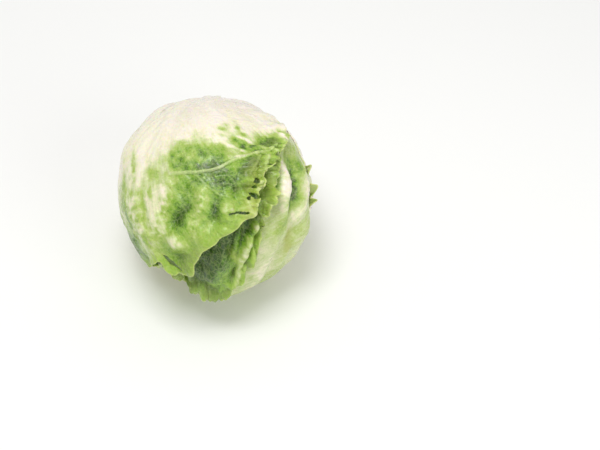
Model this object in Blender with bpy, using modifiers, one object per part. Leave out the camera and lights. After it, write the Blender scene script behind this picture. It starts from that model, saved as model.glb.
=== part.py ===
"""An iceberg lettuce head, lying on its side as picked and trimmed.

The head is built as it grew: a cut stem whose tapered core runs into the
heart, the tight heart of inner leaves, and eight wrapper leaves draped over
one another from the innermost to the outermost. Units are metres, +Z is up,
and the origin is the middle of the flat spot that the head rests on.
"""

import math
import random

import bmesh
import bpy
import numpy as np
from mathutils import Matrix, Vector
from mathutils.bvhtree import BVHTree

MM = 0.001

# The head
LEAF_RADIUS = 74 * MM  # middle radius that a leaf is wrapped on
HEAD_HEIGHT = 70.8 * MM  # from the surface it lies on up to its middle
BUTT_LIFT = math.radians(19.2)  # the cut end points this far above level
BUTT_TURN = math.radians(7.3)  # and this far to the left of straight back
VIEW_LIFT = math.radians(50)  # the side that azimuth 0 faces is seen from this far above

# The heart of tight inner leaves
HEART_RADIUS = 60 * MM
HEART_SEGMENTS = 44
HEART_RINGS = 26
CROWN_FLATTENING = 6 * MM  # how far the heart is pressed in opposite the cut end
CROWN_FLAT_ANGLE = math.radians(70)
BUTT_RISE = 7.5 * MM  # how far it stands out round the stem
BUTT_RISE_ANGLE = math.radians(65)
REST_FLATTENING = 3.0 * MM  # and where the head lies
REST_FLAT_ANGLE = math.radians(36)
INNER_LEAF_STEP = 0.9 * MM  # one inner leaf stands this far above the next
INNER_LEAF_COUNT = 7

# The cut stem and its core
STEM_CUT_RADIUS = 16.0 * MM
STEM_NECK_RADIUS = 17.2 * MM
STEM_CUT_HEIGHT = 77 * MM  # from the head's middle to the cut face
CORE_TOP_RADIUS = 15.0 * MM
CORE_TIP_HEIGHT = 8 * MM
STEM_GAP = 0.4 * MM
STEM_SIDES = 40

# The wrapper leaves
BASE_ANGLE = math.radians(17)  # where a leaf's foot sits, seen from the stem
LEAF_MIDDLE = 95 * MM  # from a leaf's foot to the middle of its blade
BLADE_THICKNESS = 0.95 * MM
RIB_THICKNESS = 4.6 * MM
RIB_HALF_WIDTH = 21 * MM
RIB_LENGTH = 112 * MM
LEAF_GAP = 0.6 * MM
DRAPE_CHECKS = 4  # places along each side of a quad where it must clear what is under it
DRAPE_TURNS = 30
DRAPE_LAST_LIFTS = 6
MARGIN_WIDTH = 26 * MM
MARGIN_LIFT = 0.2 * MM
REST_TIGHT_ANGLE = math.radians(16)  # no waves this near to where the head lies
REST_LOOSE_ANGLE = math.radians(42)
REST_SPOT_ANGLE = math.radians(14)  # the outermost leaf lies level this far round the spot
REST_SPOT_END_ANGLE = math.radians(26)
REST_SNAP = 0.25 * MM
LEAF_FOOT_CLEARANCE = 1.0 * MM

GOLDEN_ANGLE = 137.508


def head_axes():
    """Columns: towards the viewer's side, to the right, and out of the cut end."""
    butt = Vector(
        (
            -math.sin(BUTT_TURN) * math.cos(BUTT_LIFT),
            math.cos(BUTT_TURN) * math.cos(BUTT_LIFT),
            math.sin(BUTT_LIFT),
        )
    )
    viewer = Vector((0, -math.cos(VIEW_LIFT), math.sin(VIEW_LIFT)))
    side = butt.cross(viewer).normalized()
    front = side.cross(butt).normalized()
    return np.array(Matrix((front, side, butt)).transposed())


AXES = head_axes()
MIDDLE = np.array((0, 0, HEAD_HEIGHT))
DOWN = np.array((0, 0, -1.0)) @ AXES


def unit(vectors):
    return vectors / np.linalg.norm(vectors, axis=-1, keepdims=True)


def smooth(value, low, high):
    """0 at low, 1 at high, with a soft start and end."""
    t = np.clip((value - low) / (high - low), 0, 1)
    return t * t * (3 - 2 * t)


def to_world(directions, radii):
    """Points at these radii along directions given in the head's own axes."""
    return MIDDLE + radii[..., None] * (directions @ AXES.T)


def leaf_directions(x, y, azimuth):
    """Wraps the flat leaf's x (across) and y (along) round the head, true to length from its middle."""
    turn = math.radians(azimuth)
    outward = np.array((math.cos(turn), math.sin(turn), 0))
    across = np.array((-math.sin(turn), math.cos(turn), 0))
    stem = np.array((0, 0, 1.0))
    angle = BASE_ANGLE + LEAF_MIDDLE / LEAF_RADIUS
    centre = math.cos(angle) * stem + math.sin(angle) * outward
    along = -math.sin(angle) * stem + math.cos(angle) * outward
    reach = np.hypot(x, y - LEAF_MIDDLE) / LEAF_RADIUS
    bearing = np.arctan2(x, y - LEAF_MIDDLE)
    return (
        np.cos(reach)[..., None] * centre
        + (np.sin(reach) * np.cos(bearing))[..., None] * along
        + (np.sin(reach) * np.sin(bearing))[..., None] * across
    )


def outline_reach(bearing, outline):
    """How far the blade reaches at each bearing, by a smooth closed curve through (degrees, mm) points."""
    points = sorted(outline)
    angles = np.radians([p[0] for p in points])
    reaches = np.array([p[1] for p in points]) * MM
    count = len(points)
    at = np.searchsorted(angles, bearing, side="right")
    left, right = (at - 1) % count, at % count
    span = (angles[right] - angles[left]) % (2 * math.pi)
    t = ((bearing - angles[left]) % (2 * math.pi)) / span
    t = t * t * (3 - 2 * t)
    return reaches[left] * (1 - t) + reaches[right] * t


def leaf_teeth(bearing, leaf):
    """The ragged edge: uneven teeth all round but at the leaf's foot."""
    waves = random.Random(100 + leaf["seed"])
    teeth = np.zeros_like(bearing)
    for crests, height in ((17, 1.0), (26, 0.9), (37, 0.8)):
        phase = waves.uniform(0, 2 * math.pi)
        teeth += height * MM * np.sin(crests * bearing + phase)
    return leaf["teeth"] * teeth * smooth(math.pi - np.abs(bearing), 0.4, 0.9)


def ridge(x, y, fold):
    """A long soft fold: its middle, bearing, half length, half width and height, in mm and degrees."""
    middle_x, middle_y, bearing, half_length, half_width, height = fold
    turn = math.radians(bearing)
    dx, dy = x - middle_x * MM, y - middle_y * MM
    along = dx * math.sin(turn) + dy * math.cos(turn)
    across = dx * math.cos(turn) - dy * math.sin(turn)
    return height * MM * np.exp(
        -((along / (half_length * MM)) ** 2) - (across / (half_width * MM)) ** 2
    )


def leaf_relief(x, y, bearing, edge, leaf):
    """How far the blade stands off what is under it: pouches, folds and the lifted, waved margin."""
    waves = random.Random(leaf["seed"])
    relief = np.zeros_like(x)
    for wavelength, height in ((62, 0.9), (41, 0.7), (30, 0.55), (30, 0.5)):
        turn = waves.uniform(0, math.pi)
        phase = waves.uniform(0, 2 * math.pi)
        across = (x * math.cos(turn) + y * math.sin(turn)) / (wavelength * MM)
        relief += height * MM * (1 + np.sin(2 * math.pi * across + phase))
    relief *= leaf["pouches"] * smooth(y, 15 * MM, 70 * MM)
    for fold in leaf["folds"]:
        relief += ridge(x, y, fold)
    free = smooth(y, 5 * MM, 50 * MM) * smooth(MARGIN_WIDTH - edge, 0, MARGIN_WIDTH)
    lift = np.full_like(x, MARGIN_LIFT)
    for centre, half_width, height in leaf["lifts"]:
        away = (np.degrees(bearing) - centre + 180) % 360 - 180
        lift += height * MM * np.exp(-((away / half_width) ** 2))
    for crests in (leaf["frills"], 2 * leaf["frills"] + 1):
        phase = waves.uniform(0, 2 * math.pi)
        frill = 0.5 + 0.5 * np.sin(crests * bearing + phase)
        lift += leaf["frill_height"] * MM * frill * leaf["frills"] / crests
    return np.maximum(relief, 0) + lift * free**1.5


def sheet_grid(cells):
    """A flat square sheet of cells by cells quads, and each vertex's place in it from -1 to 1."""
    bm = bmesh.new()
    bmesh.ops.create_grid(bm, x_segments=cells, y_segments=cells, size=1)
    bm.verts.ensure_lookup_table()
    places = np.array([v.co[:2] for v in bm.verts])
    return bm, places


def leaf_plan(places, leaf):
    """Turns places in the square sheet into the flat leaf's x, y, bearing and way to the edge."""
    u, v = places[:, 0], places[:, 1]
    disc_x = u * np.sqrt(1 - v * v / 2)
    disc_y = v * np.sqrt(1 - u * u / 2)
    share = np.hypot(disc_x, disc_y) ** 0.85
    bearing = np.arctan2(disc_x, disc_y)
    reach = outline_reach(bearing, leaf["outline"]) + leaf_teeth(bearing, leaf)
    x = share * reach * np.sin(bearing)
    y = LEAF_MIDDLE + share * reach * np.cos(bearing)
    return x, y, bearing, (1 - share) * reach


def surface_tree(objects):
    """One search tree over the evaluated meshes of these objects, in world space."""
    graph = bpy.context.evaluated_depsgraph_get()
    points, faces = [], []
    for obj in objects:
        mesh = obj.evaluated_get(graph).to_mesh()
        start = len(points)
        points += [obj.matrix_world @ v.co for v in mesh.vertices]
        faces += [[start + i for i in p.vertices] for p in mesh.polygons]
        obj.evaluated_get(graph).to_mesh_clear()
    return BVHTree.FromPolygons(points, faces)


def surface_radius(tree, direction):
    """How far from the head's middle the outermost surface lies along one direction."""
    away = Vector(AXES @ direction)
    start = Vector(MIDDLE) + away * 2 * LEAF_RADIUS
    hit = tree.ray_cast(start, -away, 2 * LEAF_RADIUS)[0]
    return (hit - Vector(MIDDLE)).length if hit else 0.0


def drape_radii(tree, directions, places, cells):
    """The lowest smooth sheet that clears everything under it, as a radius at each vertex."""
    rows = np.round((places[:, 1] + 1) * cells / 2).astype(int)
    columns = np.round((places[:, 0] + 1) * cells / 2).astype(int)
    grid = np.zeros((cells + 1, cells + 1, 3))
    grid[rows, columns] = directions
    corners = [(slice(0, -1), slice(0, -1)), (slice(0, -1), slice(1, None)),
               (slice(1, None), slice(0, -1)), (slice(1, None), slice(1, None))]  # fmt: skip
    checks = []
    for a in np.linspace(0, 1, DRAPE_CHECKS):
        for b in np.linspace(0, 1, DRAPE_CHECKS):
            shares = ((1 - a) * (1 - b), (1 - a) * b, a * (1 - b), a * b)
            towards = unit(sum(w * grid[c] for w, c in zip(shares, corners)))
            least = [surface_radius(tree, d) + LEAF_GAP for d in towards.reshape(-1, 3)]
            checks.append((shares, towards, np.array(least).reshape(cells, cells)))
    sheet = np.zeros((cells + 1, cells + 1))
    for turn in range(DRAPE_TURNS):
        if turn < DRAPE_TURNS - DRAPE_LAST_LIFTS:
            wide = np.pad(sheet, 1, mode="edge")
            mean = (wide[:-2, 1:-1] + wide[2:, 1:-1] + wide[1:-1, :-2] + wide[1:-1, 2:]) / 4
            sheet = 0.5 * sheet + 0.5 * mean
        raised = sheet.copy()
        for shares, towards, least in checks:
            point = sum(w * sheet[c][..., None] * grid[c] for w, c in zip(shares, corners))
            short = np.maximum(least - np.sum(point * towards, axis=-1), 0)
            for share, corner in zip(shares, corners):
                lifted = sheet[corner] + short * share / max(shares)
                raised[corner] = np.maximum(raised[corner], lifted)
        sheet = raised
    return sheet[rows, columns]


def pressed_by_rest(directions, radii, room):
    """Presses a sheet level where the head lies, with this much room left under it."""
    downward = directions @ DOWN
    level = (HEAD_HEIGHT - room) / np.maximum(downward, 0.5)
    return np.where(downward > 0.5, np.minimum(radii, level), radii)


def laid_level(directions, radii, room):
    """Brings the outermost sheet down to the surface all over the spot that the head lies on."""
    downward = directions @ DOWN
    level = (HEAD_HEIGHT - room) / np.maximum(downward, 0.5)
    spot = smooth(downward, math.cos(REST_SPOT_END_ANGLE), math.cos(REST_SPOT_ANGLE))
    return radii + spot * (level - radii)


def clear_of_stem(directions, radii):
    """Moves a leaf's foot out to the stem's side."""
    offset = radii[:, None] * directions
    from_axis = np.hypot(offset[:, 0], offset[:, 1])
    keep = STEM_NECK_RADIUS + LEAF_FOOT_CLEARANCE
    push = np.where(directions[:, 2] > 0, np.maximum(keep / np.maximum(from_axis, 1e-6), 1), 1)
    offset[:, :2] *= push[:, None]
    moved = np.linalg.norm(offset, axis=1)
    return offset / moved[:, None], moved


def material(name, colour, roughness):
    made = bpy.data.materials.new(name)
    made.use_nodes = True
    shader = made.node_tree.nodes["Principled BSDF"]
    shader.inputs["Base Color"].default_value = (*colour, 1)
    shader.inputs["Roughness"].default_value = roughness
    shader.inputs["Metallic"].default_value = 0
    return made


def finished(name, mesh, look, collection):
    """Links a mesh as a part, with its material and round shading."""
    obj = bpy.data.objects.new(name, mesh)
    collection.objects.link(obj)
    obj.data.materials.clear()
    obj.data.materials.append(look)
    obj.data.shade_smooth()
    obj.data.set_sharp_from_angle(angle=math.radians(50))
    return obj


def make_heart(look, collection):
    """The ball of tight inner leaves, each standing a step above the next and waved at its edge."""
    bm = bmesh.new()
    bmesh.ops.create_uvsphere(
        bm, u_segments=HEART_SEGMENTS, v_segments=HEART_RINGS, radius=1
    )
    directions = unit(np.array([v.co for v in bm.verts]))
    polar = np.arccos(np.clip(directions[:, 2], -1, 1))
    azimuth = np.arctan2(directions[:, 1], directions[:, 0])
    radii = np.full(len(directions), HEART_RADIUS)
    for count in range(INNER_LEAF_COUNT):
        turn = math.radians(count * GOLDEN_ANGLE)
        away = np.abs((azimuth - turn + math.pi) % (2 * math.pi) - math.pi)
        waved = 1.05 + 0.10 * np.sin(9 * polar + count)
        side = smooth(waved - away, -0.08, 0.08)
        tip = 2.35 + 0.09 * count + 0.10 * np.sin(6 * azimuth + count)
        radii += INNER_LEAF_STEP * side * smooth(tip - polar, -0.08, 0.08)
    radii += BUTT_RISE * smooth(BUTT_RISE_ANGLE - polar, 0, BUTT_RISE_ANGLE)
    from_crown = math.pi - polar
    radii -= CROWN_FLATTENING * smooth(CROWN_FLAT_ANGLE - from_crown, 0, CROWN_FLAT_ANGLE)
    from_rest = np.arccos(np.clip(directions @ DOWN, -1, 1))
    radii -= REST_FLATTENING * smooth(REST_FLAT_ANGLE - from_rest, 0, REST_FLAT_ANGLE)
    for vert, point in zip(bm.verts, to_world(directions, radii)):
        vert.co = point
    mesh = bpy.data.meshes.new("heart")
    bm.to_mesh(mesh)
    bm.free()
    return finished("heart", mesh, look, collection)


def stem_profile(gap):
    """The turned outline of the stem and its core, from the cut face down, as (radius, height)."""
    outline = [
        (0, STEM_CUT_HEIGHT + gap),
        (STEM_CUT_RADIUS - 1.2 * MM + gap, STEM_CUT_HEIGHT + gap),
        (STEM_CUT_RADIUS + gap, STEM_CUT_HEIGHT - 1.2 * MM),
        (STEM_NECK_RADIUS + gap, 68 * MM),
        (STEM_NECK_RADIUS + gap, 58 * MM),
        (CORE_TOP_RADIUS + gap, 46 * MM),
        (10.5 * MM + gap, 27 * MM),
        (5.0 * MM + gap, 13 * MM),
        (0, CORE_TIP_HEIGHT - gap),
    ]
    return outline


def turned(name, outline):
    """Spins a profile round the stem's axis and stands it in the head."""
    mesh = bpy.data.meshes.new(name)
    edges = [(i, i + 1) for i in range(len(outline) - 1)]
    mesh.from_pydata([(r, 0, h) for r, h in outline], edges, [])
    obj = bpy.data.objects.new(name, mesh)
    obj.matrix_world = Matrix.Translation(MIDDLE) @ Matrix(AXES).to_4x4()
    screw = obj.modifiers.new("turn", "SCREW")
    screw.axis = "Z"
    screw.steps = screw.render_steps = STEM_SIDES
    screw.use_merge_vertices = True
    screw.merge_threshold = 0.00001
    return obj


def make_stem(look, collection):
    stem = turned("stem", stem_profile(0))
    collection.objects.link(stem)
    stem.data.materials.append(look)
    return stem


def cut_core_socket(heart, cutters):
    """Opens the heart for the core that runs down its middle."""
    cutter = turned("core_socket", stem_profile(STEM_GAP))
    cutter.hide_render = True
    cutter.display_type = "WIRE"
    cutters.objects.link(cutter)
    cut = heart.modifiers.new("core socket", "BOOLEAN")
    cut.operation = "DIFFERENCE"
    cut.object = cutter
    cut.solver = "EXACT"


def make_leaf(leaf, under, look, collection):
    """One wrapper leaf: a sheet draped over the pieces under it, then given its thickness."""
    cells = leaf["cells"]
    bm, places = sheet_grid(cells)
    x, y, bearing, edge = leaf_plan(places, leaf)
    directions = leaf_directions(x, y, leaf["azimuth"])
    radii = drape_radii(surface_tree(under), directions, places, cells)
    room = BLADE_THICKNESS + leaf["leaves_below"] * (BLADE_THICKNESS + LEAF_GAP)
    radii = pressed_by_rest(directions, radii, room)
    from_rest = np.arccos(np.clip(directions @ DOWN, -1, 1))
    loose = smooth(from_rest, REST_TIGHT_ANGLE, REST_LOOSE_ANGLE)
    radii = radii + leaf_relief(x, y, bearing, edge, leaf) * loose
    if leaf["leaves_below"] == 0:
        radii = laid_level(directions, radii, room)
    directions, radii = clear_of_stem(directions, radii)
    for vert, point in zip(bm.verts, to_world(directions, radii)):
        vert.co = point
    bmesh.ops.triangulate(bm, faces=bm.faces, quad_method="SHORT_EDGE")
    bm.faces.ensure_lookup_table()
    bm.normal_update()
    if bm.faces[0].normal.dot(bm.faces[0].calc_center_median() - Vector(MIDDLE)) < 0:
        bmesh.ops.reverse_faces(bm, faces=bm.faces)
    mesh = bpy.data.meshes.new(leaf["name"])
    bm.to_mesh(mesh)
    bm.free()
    obj = finished(leaf["name"], mesh, look, collection)
    rib_fade = 1 - smooth(y, 20 * MM, RIB_LENGTH)
    rib_width = RIB_HALF_WIDTH * (0.45 + 0.55 * rib_fade)
    rib = rib_fade * np.exp(-((x / rib_width) ** 2))
    group = obj.vertex_groups.new(name="rib")
    for index, weight in enumerate(rib):
        group.add([index], float(weight), "REPLACE")
    shell = obj.modifiers.new("thickness", "SOLIDIFY")
    shell.thickness = RIB_THICKNESS
    shell.offset = 1
    shell.vertex_group = group.name
    shell.thickness_vertex_group = BLADE_THICKNESS / RIB_THICKNESS
    return obj


def level_resting_spot(obj):
    """Makes the spot that the outermost leaf lies on exactly level."""
    graph = bpy.context.evaluated_depsgraph_get()
    mesh = bpy.data.meshes.new_from_object(obj.evaluated_get(graph))
    for vert in mesh.vertices:
        if vert.co.z < REST_SNAP:
            vert.co.z = 0
    obj.modifiers.clear()
    obj.data = mesh


# Blade outlines as (bearing from the tip in degrees, reach from the blade's middle in mm)
ROUND_BLADE = [
    (-180, 95), (-165, 97), (-150, 98), (-135, 100), (-112, 106), (-90, 108), (-65, 108),
    (-38, 112), (-12, 118), (12, 118), (38, 112), (65, 108), (90, 108), (112, 106),
    (135, 100), (150, 98), (165, 97),
]  # fmt: skip
SIDE_BLADE = [
    (-180, 95), (-165, 97), (-150, 98), (-135, 100), (-112, 106), (-90, 108), (-65, 110),
    (-38, 122), (-12, 128), (12, 126), (38, 118), (65, 112), (90, 112), (112, 112),
    (135, 101), (150, 98), (165, 97),
]  # fmt: skip
FRONT_BLADE = [
    (-180, 95), (-165, 97), (-150, 98), (-135, 102), (-112, 112), (-90, 110), (-65, 96),
    (-38, 81), (-20, 63), (-11, 61), (-4, 74), (6, 80), (14, 75), (26, 73), (38, 77), (50, 86),
    (60, 94), (78, 99), (92, 113), (105, 124), (118, 125), (135, 108), (150, 99), (165, 97),
]  # fmt: skip
TONGUE_BLADE = [
    (-180, 95), (-165, 97), (-150, 97), (-135, 96), (-112, 94), (-90, 94), (-60, 94),
    (-35, 113), (-18, 125), (-5, 128), (6, 110), (16, 88), (27, 68), (38, 58), (55, 51), (78, 49),
    (100, 53), (120, 62), (138, 78), (152, 90), (166, 96),
]  # fmt: skip
BACK_BLADE = [
    (-180, 95), (-165, 97), (-150, 99), (-136, 108), (-120, 121), (-104, 129), (-92, 126),
    (-80, 106), (-66, 84), (-50, 75), (-25, 71), (0, 70), (25, 72), (50, 78), (68, 85),
    (84, 102), (98, 122), (112, 129), (124, 124), (138, 108), (151, 99), (165, 97),
]  # fmt: skip

# The wrapper leaves from the innermost to the outermost. Folds and lifts are the hand-placed
# creases and raised margins; see ridge and leaf_relief for their numbers.
WRAPPER_LEAVES = [
    {"name": "wrapper_leaf_8", "azimuth": 60, "cells": 14, "outline": ROUND_BLADE, "seed": 8,
     "leaves_below": 5, "teeth": 0.6, "pouches": 0.15, "frills": 6, "frill_height": 0.6,
     "folds": [], "lifts": []},
    {"name": "wrapper_leaf_7", "azimuth": -77.5, "cells": 14, "outline": ROUND_BLADE, "seed": 7,
     "leaves_below": 4, "teeth": 0.6, "pouches": 0.15, "frills": 6, "frill_height": 0.6,
     "folds": [], "lifts": []},
    {"name": "wrapper_leaf_6", "azimuth": 145, "cells": 16, "outline": ROUND_BLADE, "seed": 6,
     "leaves_below": 3, "teeth": 0.6, "pouches": 0.2, "frills": 7, "frill_height": 0.8,
     "folds": [], "lifts": []},
    {"name": "wrapper_leaf_5", "azimuth": -130, "cells": 18, "outline": ROUND_BLADE, "seed": 5,
     "leaves_below": 2, "teeth": 0.8, "pouches": 0.3, "frills": 7, "frill_height": 1.0,
     "folds": [], "lifts": [(20, 30, 1.0)]},
    {"name": "wrapper_leaf_4", "azimuth": 92.5, "cells": 24, "outline": SIDE_BLADE, "seed": 4,
     "leaves_below": 1, "teeth": 0.8, "pouches": 0.3, "frills": 7, "frill_height": 1.0,
     "folds": [(-54, 113, 21, 20, 6, 5.0), (-27, 102, 2, 26, 7, 6.0), (-4, 136, 60, 18, 11, 6.0),
               (-34, 172, 70, 20, 7, 3.0), (-4, 185, 60, 26, 8, 3.0), (22, 112, 5, 30, 9, 3.5),
               (26, 168, 22, 42, 17, 3.8), (40, 202, 60, 14, 12, 3.4), (16, 146, 60, 12, 9, 3.2)],
     "lifts": [(0, 30, 1.0)]},
    {"name": "wrapper_leaf_3", "azimuth": 7.5, "cells": 24, "outline": TONGUE_BLADE, "seed": 3,
     "leaves_below": 1, "teeth": 1.3, "pouches": 0.3, "frills": 9, "frill_height": 2.2,
     "folds": [(34, 100, 10, 30, 5, 3.5), (24, 132, 14, 26, 5, 3.5), (10, 165, 20, 20, 6, 2.5)],
     "lifts": [(-6, 16, 2.0), (50, 40, 1.5)]},
    {"name": "wrapper_leaf_2", "azimuth": -45, "cells": 26, "outline": FRONT_BLADE, "seed": 2,
     "leaves_below": 1, "teeth": 1.0, "pouches": 0.45, "frills": 8, "frill_height": 1.4,
     "folds": [(28, 142, -62, 26, 6, 6.0), (57, 138, -40, 13, 7, 5.5), (-6, 118, 0, 24, 12, 3.0),
               (66, 110, -62, 24, 8, 3.5), (-9, 22, -45, 16, 12, 3.0)],
     "lifts": [(45, 26, 5.0), (3, 9, 4.0), (-28, 12, 3.0), (80, 14, 2.0)]},
    {"name": "wrapper_leaf_1", "azimuth": 177.5, "cells": 22, "outline": BACK_BLADE, "seed": 1,
     "leaves_below": 0, "teeth": 1.5, "pouches": 0.12, "frills": 9, "frill_height": 0.3,
     "folds": [], "lifts": [(-97, 5, 5.0), (-84, 5, 5.5)]},
]  # fmt: skip


def main():
    for obj in list(bpy.data.objects):
        bpy.data.objects.remove(obj)
    collection = bpy.data.collections.new("iceberg_lettuce")
    cutters = bpy.data.collections.new("cutters")
    for made in (collection, cutters):
        bpy.context.scene.collection.children.link(made)
    blade = material("leaf_green", (0.42, 0.60, 0.18), 0.45)
    pale = material("heart_pale_green", (0.78, 0.82, 0.50), 0.5)
    white = material("stem_white", (0.90, 0.87, 0.74), 0.55)

    heart = make_heart(pale, collection)
    wrapped = [heart]
    for leaf in WRAPPER_LEAVES:
        bpy.context.view_layer.update()
        wrapped.append(make_leaf(leaf, wrapped, blade, collection))
    bpy.context.view_layer.update()
    level_resting_spot(wrapped[-1])
    make_stem(white, collection)
    cut_core_socket(heart, cutters)


main()
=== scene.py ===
# %% [markdown]
# # An iceberg lettuce, leaf by leaf
#
# A head of iceberg is a ball of stiff, juicy leaves round one short stem. Each leaf starts as a
# thick white rib at the stem, fans out into a thin green blade, and ends in a waved, toothed
# margin. The head here lies on its side, with the cut stem at the back.
#
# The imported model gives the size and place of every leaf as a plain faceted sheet. This script
# lays a much finer sheet over each one, with its ribs, puckers, creases and tears, and then
# colours it. Nothing is moved: every fine leaf is measured off the plain leaf that it stands for.

import math
import random

import bmesh
import bpy
import numpy as np
from mathutils import Matrix, Vector
from mathutils.bvhtree import BVHTree


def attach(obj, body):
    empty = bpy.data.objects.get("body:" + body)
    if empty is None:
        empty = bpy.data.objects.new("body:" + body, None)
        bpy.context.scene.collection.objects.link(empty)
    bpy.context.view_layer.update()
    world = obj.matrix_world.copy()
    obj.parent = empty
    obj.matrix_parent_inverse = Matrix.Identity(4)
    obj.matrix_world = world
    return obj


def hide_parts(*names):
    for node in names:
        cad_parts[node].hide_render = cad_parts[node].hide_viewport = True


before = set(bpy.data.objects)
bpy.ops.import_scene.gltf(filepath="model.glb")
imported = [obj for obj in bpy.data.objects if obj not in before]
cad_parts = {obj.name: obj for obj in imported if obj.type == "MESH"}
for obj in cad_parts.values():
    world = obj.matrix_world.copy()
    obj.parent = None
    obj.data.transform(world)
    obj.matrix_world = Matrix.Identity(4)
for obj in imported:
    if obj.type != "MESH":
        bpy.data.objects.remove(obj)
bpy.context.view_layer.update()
MM = 0.001
print("the frame holds", ", ".join(sorted(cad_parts)))

# %% [markdown]
# ## The head's own axes
#
# A leaf is easiest to describe from the stem it grows on. The stem of this head points back and
# a little up, so three directions are worked out once: towards the viewer, to the side, and out
# of the cut end. Every leaf is then placed by its turn round the stem.

# %% The middle of the head and its axes
HEAD_HEIGHT = 70.8 * MM  # from the surface it lies on up to its middle
BUTT_LIFT = math.radians(19.2)
BUTT_TURN = math.radians(7.3)
VIEW_LIFT = math.radians(50)
LEAF_RADIUS = 74 * MM
FAR = 2 * LEAF_RADIUS

MIDDLE = Vector((0, 0, HEAD_HEIGHT))
level = math.cos(BUTT_LIFT)
butt = Vector((-math.sin(BUTT_TURN) * level, math.cos(BUTT_TURN) * level, math.sin(BUTT_LIFT)))
viewer = Vector((0, -math.cos(VIEW_LIFT), math.sin(VIEW_LIFT)))
side = butt.cross(viewer).normalized()
front = side.cross(butt).normalized()
AXES = np.array((front, side, butt)).T
DOWN = np.array((0, 0, -1.0)) @ AXES
print("the cut end points towards", [round(v, 3) for v in butt])

# %% [markdown]
# ## The camera
#
# The photograph looks down on the head at about 50 degrees with a long lens. The camera is set
# before any modelling, so that each piece can be looked at from the same place as it is made.
# The head sits up and to the left of the middle of the picture, so the camera slides sideways
# rather than turning, which keeps its view of the head the same.

# %% Aim the camera
CAMERA_DISTANCE = 1.5
CAMERA_SLIDE = 64.7 * MM
CAMERA_DROP = 21.3 * MM
CAMERA_LENS = 118.3

right = Vector((1, 0, 0))
up = viewer.cross(right)
camera = bpy.data.objects.new("camera", bpy.data.cameras.new("camera"))
camera.data.lens = CAMERA_LENS
camera.data.sensor_width = 36
place = MIDDLE + viewer * CAMERA_DISTANCE + right * CAMERA_SLIDE - up * CAMERA_DROP
turned = Matrix((right, up, viewer)).transposed().to_4x4()
camera.matrix_world = Matrix.Translation(place) @ turned
bpy.context.scene.collection.objects.link(camera)
bpy.context.scene.camera = camera
print("the camera stands at", [round(v, 3) for v in place])

# %% [markdown]
# ## Laying a flat leaf on a ball
#
# A leaf is drawn flat first, with x across it and y from its foot to its tip, and then wrapped
# round the head. A ball can't be wrapped without some stretching. The map used here keeps
# lengths true from the middle of the blade outwards, so the outline stays as drawn.

# %% Wrap a flat leaf round the head
BASE_ANGLE = math.radians(17)  # where a leaf's foot sits, seen from the stem
LEAF_MIDDLE = 95 * MM  # from its foot to the middle of its blade


def smooth(value, low, high):
    """0 at low, 1 at high, with a soft start and end."""
    t = np.clip((value - low) / (high - low), 0, 1)
    return t * t * (3 - 2 * t)


def new_object(name, bm):
    """Turns a bmesh into an object of the scene."""
    mesh = bpy.data.meshes.new(name)
    bm.to_mesh(mesh)
    bm.free()
    obj = bpy.data.objects.new(name, mesh)
    bpy.context.scene.collection.objects.link(obj)
    return obj


def cut_away(bm, marked):
    """Deletes the vertices that are marked, and their faces."""
    bm.verts.ensure_lookup_table()
    bmesh.ops.delete(bm, geom=[bm.verts[i] for i in np.flatnonzero(marked)], context="VERTS")


def leaf_directions(x, y, azimuth):
    turn = math.radians(azimuth)
    outward = np.array((math.cos(turn), math.sin(turn), 0))
    across = np.array((-math.sin(turn), math.cos(turn), 0))
    angle = BASE_ANGLE + LEAF_MIDDLE / LEAF_RADIUS
    stem = np.array((0, 0, 1.0))
    centre = math.cos(angle) * stem + math.sin(angle) * outward
    along = -math.sin(angle) * stem + math.cos(angle) * outward
    reach = np.hypot(x, y - LEAF_MIDDLE)[..., None] / LEAF_RADIUS
    bearing = np.arctan2(x, y - LEAF_MIDDLE)[..., None]
    round_it = np.cos(bearing) * along + np.sin(bearing) * across
    return np.cos(reach) * centre + np.sin(reach) * round_it


def to_world(directions, radii):
    return np.array(MIDDLE) + radii[..., None] * (directions @ AXES.T)


# %% [markdown]
# ## The outline of each blade
#
# Wrapper leaves are cupped and nearly round, but the ones that show have been bent and torn, so
# each has its own outline. It is a ring of points, given as a bearing from the tip and a reach
# from the middle of the blade, with a smooth curve through them. The teeth of a lettuce leaf are
# small points with round bays between them, so they are made from the absolute value of a sine,
# whose size and pace wander. Where a stretch of edge is whole, they fade out.

# %% Blade outlines in degrees and millimetres
ROUND_BLADE = [
    (-180, 95), (-165, 97), (-150, 98), (-135, 100), (-112, 106), (-90, 108), (-65, 108),
    (-38, 112), (-12, 118), (12, 118), (38, 112), (65, 108), (90, 108), (112, 106),
    (135, 100), (150, 98), (165, 97),
]
SIDE_BLADE = [
    (-180, 95), (-165, 97), (-150, 98), (-135, 100), (-112, 106), (-90, 108), (-65, 110),
    (-38, 122), (-12, 128), (12, 126), (38, 118), (65, 112), (90, 112), (112, 112),
    (135, 101), (150, 98), (165, 97),
]
FRONT_BLADE = [
    (-180, 95), (-165, 97), (-150, 98), (-135, 102), (-112, 112), (-90, 110), (-65, 96),
    (-38, 81), (-20, 63), (-11, 61), (-4, 74), (6, 80), (14, 75), (26, 73), (38, 77), (50, 86),
    (60, 94), (78, 99), (92, 113), (105, 124), (118, 125), (135, 108), (150, 99), (165, 97),
]
TONGUE_BLADE = [
    (-180, 95), (-165, 97), (-150, 97), (-135, 96), (-112, 94), (-90, 94), (-60, 94),
    (-35, 113), (-18, 121), (-5, 123), (6, 109), (16, 88), (27, 66), (38, 55), (55, 47), (78, 45),
    (100, 50), (120, 62), (138, 78), (152, 90), (166, 96),
]
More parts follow.
